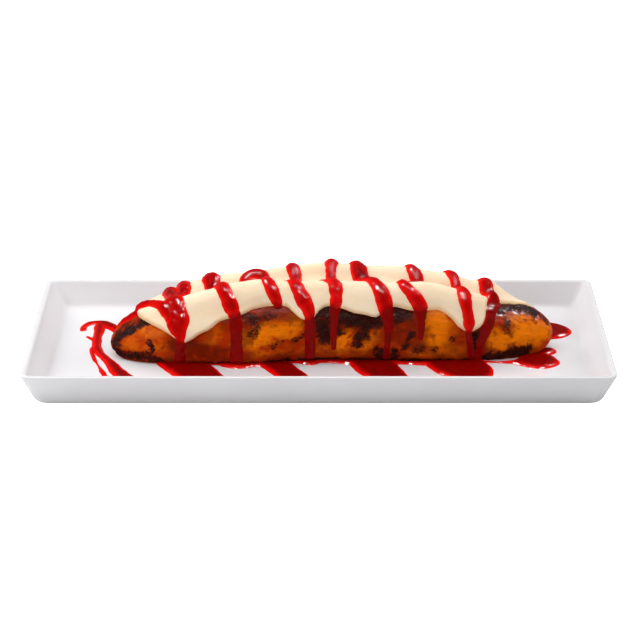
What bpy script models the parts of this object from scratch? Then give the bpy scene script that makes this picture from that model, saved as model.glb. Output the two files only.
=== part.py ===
"""Fried plantain side: a whole ripe plantain, fried dark and split along its top, with thick cream
poured over it, resting in a long white porcelain dish.

Metres, +Z up.  The origin is the middle of the dish's foot, +X runs along the plantain and -Y is the
side that the diner sees.
"""
import math

import bmesh
import bpy
from mathutils import Vector

GAP = 0.0003                 # clear distance between pieces that touch

# ---- the dish ----
DISH_LENGTH = 0.3000
DISH_WIDTH = 0.1280
DISH_HEIGHT = 0.0177
CORNER_RADIUS = 0.0065
CORNER_STEPS = 6
RIM_THICKNESS = 0.0033
RIM_ROUND = 0.0012
WALL_RUN = 0.0086            # how far the inner wall slopes in on its way down to the well
WALL_FLARE = 0.0068          # how far the outer wall leans in from the rim to the foot
WELL_HEIGHT = 0.0061         # top of the dish's floor
WELL_FILLET = 0.0020
FOOT_ROUND = 0.0027
FOOT_RING_WIDTH = 0.0105
FOOT_RECESS = 0.0012         # the unglazed middle of the underside stands clear of the table

# ---- the plantain ----
LEFT_END = -0.1083
RIGHT_END = 0.1222
LEFT_TIP_HEIGHT = 0.0130
RIGHT_TIP_HEIGHT = 0.0165
HALF_WIDTH = 0.0242
BACK_HEIGHT = 0.0476         # height of its back over the table, before it is split
NOSE_RISE = 0.0024           # how much the back swells again near the right tip
NOSE_MIDDLE = 0.91
NOSE_REACH = 0.15
WAIST = 0.40                 # height of its widest line, as a part of its own height
SAG = 0.0045                 # how much of its round belly is pressed flat on the dish
SIDEWAYS = 0.0025
LEFT_BOW = 0.0110            # how far each end curves towards the diner
RIGHT_BOW = 0.0045
BOW_EASE = 0.15              # length, as a part of half the fruit, over which the curve sets in
SPLIT_DEPTH = 0.0085
SPLIT_WIDTH = 0.26           # half width of the split, as a part of HALF_WIDTH
SPLIT_MIDDLE = 0.02
SPLIT_REACH = 0.84           # where the split ends, as a part of half the fruit
SPLIT_FADE = 0.35
FRONT_LIP_DROP = 0.0020      # the lip on the diner's side stands this much lower

MIDDLE = (LEFT_END + RIGHT_END) / 2
HALF_LENGTH = (RIGHT_END - LEFT_END) / 2
FRUIT_BASE = WELL_HEIGHT + GAP

# ---- the cream ----
CREAM_LEFT = -0.0940
CREAM_RIGHT = 0.1110
CREAM_THICKNESS = 0.0026
CREAM_EDGE_THICKNESS = 0.0011
CREAM_GAP = 0.0007           # wider than GAP, because both of these faces are curved and faceted
CREAM_BED_SPLIT = 0.0066     # the cream bridges the bottom of the split
CREAM_TOP_SPLIT = 0.0062
CREAM_TOP_SPLIT_WIDTH = 0.31
CREAM_COLUMNS = 56
CREAM_ROWS = 14

# Each tongue of cream: its middle along X, its half width, and how many degrees further round it runs.
FRONT_TONGUES = ((-0.0700, 0.0180, 33), (-0.0060, 0.0095, 19), (0.0265, 0.0120, 13), (0.0770, 0.0125, 27))
REAR_TONGUES = ((-0.0520, 0.0130, 22), (-0.0120, 0.0110, 12), (0.0360, 0.0140, 26), (0.0840, 0.0120, 14))
FRONT_REACH = 139            # degrees round from the rear, 90 being the top of the plantain
REAR_REACH = 42
LEFT_FRONT_REACH = 96        # where each edge starts at the left end and stops at the right end
LEFT_REAR_REACH = 70
RIGHT_FRONT_REACH = 84
BARE_LIP_START = 0.0870      # right of here the diner's side of the top stays bare


def clear_scene():
    for item in list(bpy.data.objects):
        bpy.data.objects.remove(item, do_unlink=True)


def make_material(name, colour, roughness, metallic=0.0):
    material = bpy.data.materials.new(name)
    material.use_nodes = True
    shader = material.node_tree.nodes["Principled BSDF"]
    shader.inputs["Base Color"].default_value = (*colour, 1.0)
    shader.inputs["Roughness"].default_value = roughness
    shader.inputs["Metallic"].default_value = metallic
    return material


def add_object(name, shape, material, collection, sharp_angle):
    """Turn a bmesh into a smooth shaded object of its own."""
    bmesh.ops.recalc_face_normals(shape, faces=shape.faces)
    mesh = bpy.data.meshes.new(name)
    shape.to_mesh(mesh)
    shape.free()
    mesh.shade_smooth()
    mesh.set_sharp_from_angle(angle=math.radians(sharp_angle))
    item = bpy.data.objects.new(name, mesh)
    item.data.materials.append(material)
    collection.objects.link(item)
    return item


def smooth_step(value):
    value = min(max(value, 0.0), 1.0)
    return value * value * (3.0 - 2.0 * value)


def bump(x, middle, half_width):
    """A smooth hill: 1 at its middle, 0 beyond its half width."""
    return smooth_step(1.0 - abs(x - middle) / half_width)


# ---- the dish ----
def edges_at(shape, height, tolerance=1e-5):
    return [edge for edge in shape.edges if all(abs(v.co.z - height) < tolerance for v in edge.verts)]


def touches_outer_wall(edge):
    """True where one of the edge's faces is the sloping outside of the dish."""
    return any(abs(face.normal.z) < 0.9 and face.calc_center_median().z > FOOT_RECESS
               for face in edge.link_faces)


def bevel_edges(shape, edges, width, segments):
    bmesh.ops.bevel(shape, geom=edges, offset=width, offset_type="OFFSET", segments=segments,
                    profile=0.5, affect="EDGES", clamp_overlap=True)


def flat_face(shape, direction):
    """The biggest face that looks straight up (1) or straight down (-1)."""
    faces = [face for face in shape.faces if face.normal.z * direction > 0.999]
    return max(faces, key=lambda face: face.calc_area())


def draw_in(verts, distance):
    """Move points towards the dish's middle lines, so that round corners keep their radius."""
    for vert in verts:
        vert.co.x -= math.copysign(distance, vert.co.x)
        vert.co.y -= math.copysign(distance, vert.co.y)


def sink_face(shape, face, run, height):
    """Wall off a smaller copy of a flat face and move it up or down."""
    bmesh.ops.inset_region(shape, faces=[face], thickness=0.0)
    draw_in(face.verts, run)
    bmesh.ops.translate(shape, vec=(0, 0, height), verts=face.verts)


def build_dish(material, collection):
    shape = bmesh.new()
    bmesh.ops.create_cube(shape, size=1.0)
    bmesh.ops.scale(shape, vec=(DISH_LENGTH, DISH_WIDTH, DISH_HEIGHT), verts=shape.verts)
    bmesh.ops.translate(shape, vec=(0, 0, DISH_HEIGHT / 2), verts=shape.verts)
    uprights = [edge for edge in shape.edges if edge.verts[0].co.z != edge.verts[1].co.z]
    bevel_edges(shape, uprights, CORNER_RADIUS, CORNER_STEPS)
    draw_in([vert for vert in shape.verts if vert.co.z < DISH_HEIGHT / 2], WALL_FLARE)

    shape.normal_update()
    top = flat_face(shape, 1)
    bmesh.ops.inset_region(shape, faces=[top], thickness=RIM_THICKNESS)
    sink_face(shape, top, WALL_RUN, WELL_HEIGHT - DISH_HEIGHT)
    under = flat_face(shape, -1)
    sink_face(shape, under, FOOT_RING_WIDTH, 0.0)
    sink_face(shape, under, FOOT_RECESS, FOOT_RECESS)

    shape.normal_update()
    foot = [edge for edge in edges_at(shape, 0.0) if touches_outer_wall(edge)]
    bevel_edges(shape, foot, FOOT_ROUND, 4)
    bevel_edges(shape, edges_at(shape, DISH_HEIGHT), RIM_ROUND, 3)
    bevel_edges(shape, edges_at(shape, WELL_HEIGHT), WELL_FILLET, 3)
    return add_object("plate", shape, material, collection, 40)


# ---- the plantain ----
def taper(u, power, sharpness):
    """1 in the middle of the fruit, falling to 0 at both tips."""
    return max(1.0 - abs(u) ** power, 0.0) ** sharpness


def bow(u):
    """How far the fruit's middle line has curved towards the diner at u."""
    reach = RIGHT_BOW if u > 0 else LEFT_BOW
    return reach * (math.hypot(u, BOW_EASE) - BOW_EASE) / (math.hypot(1.0, BOW_EASE) - BOW_EASE)


def fruit_point(u, angle, split_depth, split_width):
    """A point of the fruit's skin.

    u runs from -1 at the left tip to 1 at the right tip.  angle goes round the section: 0 is the
    rear, 90 degrees the top and 180 degrees the diner's side.
    """
    tip_height = RIGHT_TIP_HEIGHT if u > 0 else LEFT_TIP_HEIGHT
    tall = taper(u, 1.9, 0.67)
    half_width = HALF_WIDTH * taper(u, 2.6 if u > 0 else 2.9, 0.5)
    blunt = taper(u, 11.0, 0.5)
    top = tip_height + (BACK_HEIGHT - tip_height) * tall
    top += NOSE_RISE * bump(u, NOSE_MIDDLE, NOSE_REACH) * blunt
    bottom = tip_height + (FRUIT_BASE - SAG - tip_height) * blunt

    across, rise = math.cos(angle), math.sin(angle)
    squareness = 2 / 2.1 if rise >= 0 else 2 / 4.0
    across = math.copysign(abs(across) ** squareness, across)
    rise = math.copysign(abs(rise) ** squareness, rise)
    middle_y = SIDEWAYS - bow(u)
    if rise < 0:
        z = bottom + (top - bottom) * WAIST * (1.0 + rise)
    else:
        middle_y *= 1.0 - 0.5 * smooth_step(rise)
        z = bottom + (top - bottom) * (WAIST + (1.0 - WAIST) * rise)
        along = smooth_step((SPLIT_REACH - abs(u - SPLIT_MIDDLE)) / SPLIT_FADE)
        z -= split_depth * along * math.exp(-((across / split_width) ** 2))
        lip = smooth_step(tall * 1.6 - 0.6) * smooth_step((0.15 - across) / 0.5)
        z -= FRONT_LIP_DROP * lip * rise
    return Vector((MIDDLE + HALF_LENGTH * u, middle_y + half_width * across, max(z, FRUIT_BASE)))


def raised_point(u, angle, height, split_depth, split_width):
    """A point at a given height over the skin, along the skin's normal."""
    step = 0.001
    here = fruit_point(u, angle, split_depth, split_width)
    along = (fruit_point(u + step, angle, split_depth, split_width)
             - fruit_point(u - step, angle, split_depth, split_width))
    around = (fruit_point(u, angle + step, split_depth, split_width)
              - fruit_point(u, angle - step, split_depth, split_width))
    return here + around.cross(along).normalized() * height


def build_plantain(material, collection):
    """A sphere whose poles become the fruit's two tips."""
    shape = bmesh.new()
    bmesh.ops.create_uvsphere(shape, u_segments=56, v_segments=30, radius=1.0)
    for vert in shape.verts:
        angle = math.atan2(vert.co.y, vert.co.x)
        vert.co = fruit_point(vert.co.z, angle, SPLIT_DEPTH, SPLIT_WIDTH)
    return add_object("plantain", shape, material, collection, 60)


# ---- the cream ----
def tongues(x, each):
    return sum(degrees * bump(x, middle, half_width) for middle, half_width, degrees in each)


def front_edge(x):
    """How far round the cream runs down the diner's side, in degrees."""
    reach = FRONT_REACH + tongues(x, FRONT_TONGUES)
    grown = smooth_step((x - CREAM_LEFT + 0.002) / 0.016)
    kept = smooth_step((BARE_LIP_START + 0.0075 - x) / 0.015)
    full = LEFT_FRONT_REACH + (reach - LEFT_FRONT_REACH) * grown
    return RIGHT_FRONT_REACH + (full - RIGHT_FRONT_REACH) * kept


def rear_edge(x):
    reach = REAR_REACH - tongues(x, REAR_TONGUES)
    grown = smooth_step((x - CREAM_LEFT + 0.003) / 0.020) * smooth_step((CREAM_RIGHT + 0.003 - x) / 0.025)
    return LEFT_REAR_REACH + (reach - LEFT_REAR_REACH) * grown


def cream_place(x, across):
    """The u and angle of a point that lies part of the way across the sheet of cream."""
    degrees = rear_edge(x) + (front_edge(x) - rear_edge(x)) * across
    return (x - MIDDLE) / HALF_LENGTH, math.radians(degrees)


def cream_bed(x, across):
    u, angle = cream_place(x, across)
    return raised_point(u, angle, CREAM_GAP, CREAM_BED_SPLIT, SPLIT_WIDTH)


def cream_top(x, across):
    u, angle = cream_place(x, across)
    from_ends = smooth_step(min(x - CREAM_LEFT, CREAM_RIGHT - x) / 0.006)
    body = from_ends * smooth_step(min(across, 1.0 - across) / 0.12)
    thickness = CREAM_EDGE_THICKNESS + (CREAM_THICKNESS - CREAM_EDGE_THICKNESS) * body
    return raised_point(u, angle, CREAM_GAP + thickness, CREAM_TOP_SPLIT, CREAM_TOP_SPLIT_WIDTH)


def add_sheet(shape, place):
    """A grid over the length and width of the cream, each point put where place(x, across) says."""
    grid = bmesh.ops.create_grid(shape, x_segments=CREAM_COLUMNS, y_segments=CREAM_ROWS, size=1.0)
    for vert in grid["verts"]:
        x = CREAM_LEFT + (CREAM_RIGHT - CREAM_LEFT) * (vert.co.x + 1.0) / 2
        vert.co = place(x, (vert.co.y + 1.0) / 2)


def build_cream(material, collection):
    """An upper and a lower sheet, joined round their border."""
    shape = bmesh.new()
    add_sheet(shape, cream_bed)
    add_sheet(shape, cream_top)
    borders = [edge for edge in shape.edges if edge.is_boundary]
    bmesh.ops.bridge_loops(shape, edges=borders)
    return add_object("cream_topping", shape, material, collection, 60)


def main():
    clear_scene()
    collection = bpy.data.collections.new("fried_plantain_side")
    bpy.context.scene.collection.children.link(collection)
    porcelain = make_material("porcelain", (0.86, 0.86, 0.85), 0.16)
    fried_plantain = make_material("fried_plantain", (0.42, 0.13, 0.015), 0.38)
    cream = make_material("cream", (0.90, 0.76, 0.55), 0.33)
    build_dish(porcelain, collection)
    build_plantain(fried_plantain, collection)
    build_cream(cream, collection)


main()
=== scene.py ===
# %% [markdown]
# # A fried plantain side, cell by cell
#
# A whole ripe plantain, fried until it is amber with dark charred places, lies in a long white
# porcelain dish.  It was split along its top, cream was poured over it, and red fruit sauce was
# drizzled across.  The packed model gives the size and the place of the dish, the fruit and the
# cream.  This file makes the fine surfaces, the sauce and every finish.

# %% Load the frame
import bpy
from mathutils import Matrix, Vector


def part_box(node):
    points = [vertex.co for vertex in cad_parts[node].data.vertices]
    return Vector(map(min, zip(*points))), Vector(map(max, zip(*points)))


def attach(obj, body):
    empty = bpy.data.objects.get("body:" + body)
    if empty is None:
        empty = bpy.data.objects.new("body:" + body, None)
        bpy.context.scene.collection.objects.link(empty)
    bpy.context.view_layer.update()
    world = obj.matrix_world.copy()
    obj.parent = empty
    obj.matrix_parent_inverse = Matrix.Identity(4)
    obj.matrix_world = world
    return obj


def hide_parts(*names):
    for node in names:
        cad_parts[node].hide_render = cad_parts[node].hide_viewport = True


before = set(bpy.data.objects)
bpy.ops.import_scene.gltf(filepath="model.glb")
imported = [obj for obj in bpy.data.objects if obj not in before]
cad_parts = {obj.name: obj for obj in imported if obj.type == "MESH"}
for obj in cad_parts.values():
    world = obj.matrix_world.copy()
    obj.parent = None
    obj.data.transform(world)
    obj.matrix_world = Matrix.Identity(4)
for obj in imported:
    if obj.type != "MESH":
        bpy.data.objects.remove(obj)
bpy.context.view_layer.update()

import math

import bmesh
import bpy
import numpy as np
from mathutils import Vector, noise
from mathutils.bvhtree import BVHTree

MM = 0.001
dish_low, dish_high = [np.array(corner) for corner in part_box("plate")]
fruit_low, fruit_high = [np.array(corner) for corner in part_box("plantain")]
print("dish in mm", (dish_high - dish_low) / MM, "fruit", (fruit_high - fruit_low) / MM)

# %% [markdown]
# ## From points to pieces
#
# Each piece is a mesh of its own.  It rides on the part's one body, names the material slot that it
# belongs to, and may stand for a plainer solid of the packed model.

# %% Helpers for pieces
def add_piece(shape, name):
    """Turn a bmesh into a smooth shaded object."""
    bmesh.ops.recalc_face_normals(shape, faces=shape.faces)
    mesh = bpy.data.meshes.new(name)
    shape.to_mesh(mesh)
    shape.free()
    mesh.shade_smooth()
    item = bpy.data.objects.new(name, mesh)
    bpy.context.scene.collection.objects.link(item)
    return item


def print_size(item):
    print(item.name, "measures", np.round(np.ptp(np.array(item.bound_box), axis=0) / MM, 1), "mm")


def place_piece(item, material, replaced=None, wet=False):
    """Put a piece on the part's body.  A wet piece also catches the glints."""
    item.data.materials.append(material)
    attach(item, "root")
    if replaced:
        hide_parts(replaced)
    if wet:
        wet_pieces.objects.link(item)
    triangles = sum(len(face.vertices) - 2 for face in item.data.polygons)
    print(item.name, "has", triangles, "triangles")

# %% [markdown]
# ## The camera
#
# The camera stands on the diner's side and looks down at the dish from a low angle.  A long lens
# keeps the long sides of the dish nearly parallel.

# %% Camera
CAMERA_TILT = math.radians(24.0)
CAMERA_DISTANCE = 1.135
CAMERA_TARGET = Vector((0.0007, 0.0024, 0.0200))
LENS = 121.84                        # both in mm, as on a full frame camera
SENSOR = 36.0

camera_data = bpy.data.cameras.new("camera")
camera_data.lens = LENS
camera_data.sensor_width = SENSOR
camera = bpy.data.objects.new("camera", camera_data)
back = Vector((0.0, -math.cos(CAMERA_TILT), math.sin(CAMERA_TILT)))
camera.location = CAMERA_TARGET + back * CAMERA_DISTANCE
camera.rotation_euler = (math.pi / 2 - CAMERA_TILT, 0.0, 0.0)
bpy.context.scene.collection.objects.link(camera)
bpy.context.scene.camera = camera
print("camera stands at", tuple(round(value, 4) for value in camera.location))

# %% [markdown]
# ## Studio light
#
# Soft boxes overhead and behind, and small ones near the ends, give the clean look of a studio table,
# with the walls of the dish a little darker towards the right.  They light the food, but they don't
# show in its gloss, where shapes as large as these would lie like a veil over the red.
# Four small strong lights do the opposite: they only show as reflections, in what is wet.  They are
# linked to the sauce and the oily skin alone, so they don't glare in the glaze.

# %% Lights
wet_pieces = bpy.data.collections.new("wet_pieces")


def add_light(name, place, size, power, glint=False):
    """A flat light that faces the dish.  A glint is mirrored in wet pieces and lights nothing."""
    data = bpy.data.lights.new(name, "AREA")
    data.shape = "RECTANGLE"
    data.size, data.size_y = size
    data.energy = power
    light = bpy.data.objects.new(name, data)
    light.location = place
    light.rotation_euler = (-Vector(place)).to_track_quat("-Z", "Y").to_euler()
    light.visible_diffuse = not glint
    light.visible_glossy = glint
    bpy.context.scene.collection.objects.link(light)
    if glint:
        light.light_linking.receiver_collection = wet_pieces


# Each soft box: name, place and size in metres, and power in watts.
SOFT_BOXES = (("overhead", (0.0, 0.0, 2.2), (1.5, 1.1), 16.0),
              ("behind", (0.0, 1.3, 1.8), (1.5, 0.8), 11.5),
              ("rear_left", (-1.3, 0.9, 0.9), (1.0, 0.8), 13.5),
              ("rear_right", (1.3, 0.4, 0.9), (1.0, 0.8), 9.7),
              ("above_left", (-0.5, 0.0, 0.7), (0.4, 0.4), 0.9),
              ("low_left", (-0.5, -0.45, 0.4), (0.3, 0.3), 1.9),
              ("low_right", (0.45, -0.6, 0.55), (0.4, 0.3), 0.7))
for soft_box in SOFT_BOXES:
    add_light(*soft_box)

# Each glint: its place and the side of its square, in metres.
GLINTS = (((-0.20, -0.18, 0.97), 0.10), ((0.34, -0.20, 0.92), 0.10), ((-0.48, 0.10, 0.87), 0.08),
          ((0.56, 0.35, 0.74), 0.09))
GLINT_BRIGHTNESS = 1400.0 * math.pi  # watts for each square metre of the light
for number, (place, side) in enumerate(GLINTS):
    add_light("glint_%d" % number, place, (side, side), GLINT_BRIGHTNESS * side ** 2, glint=True)
print("lights:", [item.name for item in bpy.data.lights])

# %% [markdown]
# ## The white surrounding
#
# The surrounding is plain white where it is seen past the table, much weaker where it is mirrored,
# and weakest as a light.  One strength for all three would be simpler, but it would either grey the
# background or wash out the dark skin and the red sauce.  The kind of ray picks the strength.

# %% World
SURROUNDING_LIGHT = 0.10
SURROUNDING_MIRRORED = 0.28
SURROUNDING_SEEN = 1.00

world = bpy.data.worlds.new("studio")
world.use_nodes = True
background = world.node_tree.nodes["Background"]
background.inputs["Color"].default_value = (1.0, 1.0, 1.0, 1.0)
rays = world.node_tree.nodes.new("ShaderNodeLightPath")
mirrored, seen = [world.node_tree.nodes.new("ShaderNodeMapRange") for _ in range(2)]
mirrored.inputs["To Min"].default_value = SURROUNDING_LIGHT
mirrored.inputs["To Max"].default_value = SURROUNDING_MIRRORED
seen.inputs["To Max"].default_value = SURROUNDING_SEEN
for source, target in ((rays.outputs["Is Glossy Ray"], mirrored.inputs["Value"]),
                       (rays.outputs["Is Camera Ray"], seen.inputs["Value"]),
                       (mirrored.outputs[0], seen.inputs["To Min"]),
                       (seen.outputs[0], background.inputs["Strength"])):
    world.node_tree.links.new(source, target)
bpy.context.scene.world = world
bpy.context.scene.view_settings.view_transform = "Standard"
print("the world has", len(world.node_tree.nodes), "nodes")

# %% [markdown]
# ## Building materials
#
# Every finish is one Principled shader whose colour, gloss and bump are fed by small networks.  This
# class keeps the wiring short: each method adds one node and returns its output.

# %% A material under construction
class Finish:
    """One material and the small networks that feed it."""

    def __init__(self, name, **sockets):
        self.material = bpy.data.materials.new(name)
        self.material.use_nodes = True
        self.nodes = self.material.node_tree.nodes
        self.shader = self.nodes["Principled BSDF"]
        for label, value in sockets.items():
            self.shader.inputs[label.replace("_", " ")].default_value = value

    def feed(self, socket, value):
        """Link an output to a socket, or set the socket's own value."""
        if isinstance(value, bpy.types.NodeSocket):
            self.material.node_tree.links.new(value, socket)
        else:
            socket.default_value = value

    def into(self, label, value):
        self.feed(self.shader.inputs[label], value)

    def attribute(self, name):
        node = self.nodes.new("ShaderNodeAttribute")
        node.attribute_name = name
        return node.outputs["Fac"]

    def height(self):
        """Height over the table, in metres."""
        place = self.nodes.new("ShaderNodeTexCoord")
        split = self.nodes.new("ShaderNodeSeparateXYZ")
        self.feed(split.inputs[0], place.outputs["Object"])
        return split.outputs["Z"]

    def math(self, operation, first, second=0.0):
        node = self.nodes.new("ShaderNodeMath")
        node.operation = operation
        self.feed(node.inputs[0], first)
        self.feed(node.inputs[1], second)
        return node.outputs["Value"]

    def centred(self, mask, amount):
        """A mask turned into unevenness about zero."""
        return self.math("MULTIPLY", self.math("SUBTRACT", mask, 0.5), amount)

    def limits(self, value, low, high, to_low=0.0, to_high=1.0):
        """A smooth step from to_low, where value is low, to to_high, where it is high."""
        node = self.nodes.new("ShaderNodeMapRange")
        node.interpolation_type = "SMOOTHSTEP"
        for socket, setting in zip(node.inputs, (value, low, high, to_low, to_high)):
            self.feed(socket, setting)
        return node.outputs["Result"]

    def mix(self, factor, first, second):
        """A colour between two colours."""
        node = self.nodes.new("ShaderNodeMix")
        node.data_type = "RGBA"
        for socket, value in zip((node.inputs[0], *node.inputs[6:8]), (factor, first, second)):
            self.feed(socket, (*value, 1.0) if isinstance(value, tuple) else value)
        return node.outputs[2]

    def own_noise(self, scale, detail):
        """Lumps of this material's own, between 0 and 1."""
        place = self.nodes.new("ShaderNodeTexCoord")
        node = self.nodes.new("ShaderNodeTexNoise")
        node.inputs["Scale"].default_value = scale
        node.inputs["Detail"].default_value = detail
        self.feed(node.inputs["Vector"], place.outputs["Object"])
        return node.outputs[0]

    def group(self, tree, **values):
        node = self.nodes.new("ShaderNodeGroup")
        node.node_tree = tree
        for label, value in values.items():
            self.feed(node.inputs[label], value)
        return node.outputs[0]

    def bump(self, height, distance, normal=None):
        node = self.nodes.new("ShaderNodeBump")
        node.inputs["Distance"].default_value = distance
        self.feed(node.inputs["Height"], height)
        if normal:
            self.feed(node.inputs["Normal"], normal)
        return node.outputs["Normal"]


print("a finish can use", [name for name in vars(Finish) if not name.startswith("_")])

# %% [markdown]
# ## Shared effect: mottle
#
# Fried skin, cream, sauce, glaze and table all have blotches of some size.  One node group makes them: noise
# in object space, stretched along the fruit where that is wanted, with its contrast set by two
# limits.  It only hands out a mask, and each material decides what the mask does.

# %% The mottle node group
def make_mottle():
    tree = bpy.data.node_groups.new("mottle", "ShaderNodeTree")
    sockets = (("Blotches", "NodeSocketFloat", 100.0), ("Detail", "NodeSocketFloat", 4.0),
               ("Stretch", "NodeSocketVector", (1.0, 1.0, 1.0)), ("Low", "NodeSocketFloat", 0.35),
               ("High", "NodeSocketFloat", 0.65))
    for label, kind, value in sockets:
        tree.interface.new_socket(label, in_out="INPUT", socket_type=kind).default_value = value
    tree.interface.new_socket("Mask", in_out="OUTPUT", socket_type="NodeSocketFloat")
    given = tree.nodes.new("NodeGroupInput").outputs
    place = tree.nodes.new("ShaderNodeTexCoord")
    stretched = tree.nodes.new("ShaderNodeVectorMath")
    stretched.operation = "MULTIPLY"
    cloud = tree.nodes.new("ShaderNodeTexNoise")
    contrast = tree.nodes.new("ShaderNodeMapRange")
    contrast.interpolation_type = "SMOOTHSTEP"
    result = tree.nodes.new("NodeGroupOutput")
    for source, target in (
            (place.outputs["Object"], stretched.inputs[0]), (given["Stretch"], stretched.inputs[1]),
            (stretched.outputs[0], cloud.inputs["Vector"]), (given["Blotches"], cloud.inputs["Scale"]),
            (given["Detail"], cloud.inputs["Detail"]), (cloud.outputs[0], contrast.inputs["Value"]),
            (given["Low"], contrast.inputs["From Min"]), (given["High"], contrast.inputs["From Max"]),
            (contrast.outputs[0], result.inputs["Mask"])):
        tree.links.new(source, target)
    return tree


MOTTLE = make_mottle()
print("mottle takes", [item.name for item in MOTTLE.interface.items_tree])

# %% [markdown]
# ## The table
#
# A plain pale surface, large enough to fill every view, with a faint unevenness.  Seen directly it
# glows white, as a light table does, so it has no far edge and the dish casts hardly a shadow on it.

# %% Table
def make_table_finish():
    finish = Finish("table", Roughness=0.9, Specular_IOR_Level=0.1, Emission_Color=(1.0, 1.0, 1.0, 1.0))
    mask = finish.group(MOTTLE, Blotches=9.0, Low=0.3, High=0.7)
    finish.into("Base Color", finish.mix(mask, (0.80, 0.80, 0.80), (0.82, 0.82, 0.82)))
    finish.into("Emission Strength", finish.nodes.new("ShaderNodeLightPath").outputs["Is Camera Ray"])
    return finish.material


TABLE_HALF = 6.0
shape = bmesh.new()
bmesh.ops.create_grid(shape, x_segments=8, y_segments=8, size=TABLE_HALF)
table = add_piece(shape, "table")
table.data.materials.append(make_table_finish())
print("the table is", 2 * TABLE_HALF, "m wide")

# %% [markdown]
# ## The dish: its outline
#
# The dish is a long rectangle with round corners, whose walls lean outwards.  Every level of it is
# the same outline, set in a little further, so it is built from rings: one ring of points for each
# place on the wall's section.  Bevels on a box would do too, but rings give even rows of faces, and
# one section then serves all the way round.

# %% A ring of the dish
DISH_CORNER = 6.5 * MM
CORNER_STEPS = 10
SIDE_STEP = 6.0 * MM


def dish_ring(inset, corner):
    """Points round the dish, where inset is the distance in from the rim's outer edge."""
    half_x, half_y = dish_high[:2] - inset - corner
    turn = np.radians(np.linspace(0, 90, CORNER_STEPS + 1))
    points = []
    for quarter, (sign_x, sign_y) in enumerate(((1, 1), (-1, 1), (-1, -1), (1, -1))):
        angles = turn + math.pi / 2 * quarter
        arc = np.stack([sign_x * half_x + corner * np.cos(angles),
                        sign_y * half_y + corner * np.sin(angles)], axis=-1)
        side = 2 * (half_y if quarter % 2 else half_x)
        steps = round(2 * ((dish_high[1] if quarter % 2 else dish_high[0]) - DISH_CORNER) / SIDE_STEP)
        heading = np.array([-math.sin(angles[-1]), math.cos(angles[-1])])
        run = np.arange(1, steps)[:, None] * side / steps
        points += [arc, arc[-1] + run * heading]
    return np.vstack(points)


print("a ring has", len(dish_ring(0.0, DISH_CORNER)), "points")

# %% [markdown]
# ## The dish: its section
#
# The wall's section is a short line through its named corners, each rounded by its own amount: the
# foot, the two edges of the rim, and the fillet where the wall meets the floor.  The middle of the
# underside is raised a little, so the dish stands on a ring.

# %% The wall's section
WALL_FLARE = 6.8 * MM                # how far the underside is set in from the rim
WALL_RUN = 8.6 * MM                  # how far the inner side of the wall leans
RIM_THICKNESS = 3.3 * MM
FOOT_WIDTH = 10.5 * MM
FOOT_RECESS = 1.2 * MM               # how much the middle of the underside is raised
FLAT_BORDER = 6.0 * MM               # a flat strip round each middle, above and below
GAP = 0.3 * MM                       # between the fruit and the dish's floor
WELL = fruit_low[2] - GAP
RIM_HEIGHT = dish_high[2]


def rounded_section(corners, steps=7):
    """corners holds (inset, corner radius, height, and how far before and after it the rounding runs)."""
    made = [np.array(corners[0][:3])]
    for before, here, after in zip(corners, corners[1:], corners[2:]):
        middle = np.array(here[:3])
        start, end = [middle + (np.array(other[:3]) - middle) * reach
                      / math.hypot(other[0] - here[0], other[2] - here[2])
                      for other, reach in ((before, here[3]), (after, here[4]))]
        for t in np.linspace(0, 1, steps):
            made.append(start * (1 - t) ** 2 + middle * 2 * t * (1 - t) + end * t ** 2)
    made.append(np.array(corners[-1][:3]))
    return made


inner = RIM_THICKNESS + WALL_RUN
foot = WALL_FLARE + FOOT_WIDTH
well_corner = DISH_CORNER - RIM_THICKNESS
section = rounded_section([
    (foot + FOOT_RECESS + FLAT_BORDER, DISH_CORNER, FOOT_RECESS),
    (foot + FOOT_RECESS, DISH_CORNER, FOOT_RECESS, 0.5 * MM, 0.5 * MM),
    (foot, DISH_CORNER, 0.0, 0.5 * MM, 0.5 * MM),
    (WALL_FLARE, DISH_CORNER, 0.0, 2.7 * MM, 2.7 * MM),
    (0.0, DISH_CORNER, RIM_HEIGHT, 3.0 * MM, 1.2 * MM),
    (RIM_THICKNESS, well_corner, RIM_HEIGHT, 1.2 * MM, 1.2 * MM),
    (inner, well_corner, WELL, 2.2 * MM, 2.2 * MM),
    (inner + FLAT_BORDER, well_corner, WELL)])
print("the section has", len(section), "levels")

# %% [markdown]
# ## The dish: glazed porcelain
#
# White glaze is a smooth clear gloss over a slightly cool white body.  Its reflections wander gently
# because the glaze ran while it was hot.  The foot ring was wiped clean of glaze before firing, so it
# is creamier and dull.

# %% Porcelain
def make_porcelain():
    finish = Finish("porcelain", Coat_Roughness=0.04, Specular_IOR_Level=0.35)
    cloud = finish.group(MOTTLE, Blotches=14.0, Detail=3.0, Low=0.3, High=0.7)
    glazed = finish.limits(finish.height(), 0.15 * MM, 0.9 * MM)
    body = finish.mix(cloud, (0.800, 0.788, 0.806), (0.820, 0.811, 0.828))
    finish.into("Base Color", finish.mix(glazed, (0.70, 0.66, 0.58), body))
    finish.into("Roughness", finish.limits(glazed, 0.0, 1.0, 0.75, 0.16))
    finish.into("Coat Weight", finish.math("MULTIPLY", glazed, 0.4))
    wander = finish.group(MOTTLE, Blotches=38.0, Detail=2.0, Low=0.2, High=0.8)
    grit = finish.group(MOTTLE, Blotches=1500.0, Detail=2.0, Low=0.3, High=0.7)
    bare = finish.math("MULTIPLY", grit, finish.math("SUBTRACT", 1.0, glazed))
    finish.into("Normal", finish.bump(bare, 0.05 * MM, finish.bump(wander, 0.12 * MM)))
    return finish.material


PORCELAIN = make_porcelain()
print("porcelain has", len(PORCELAIN.node_tree.nodes), "nodes")

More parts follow.
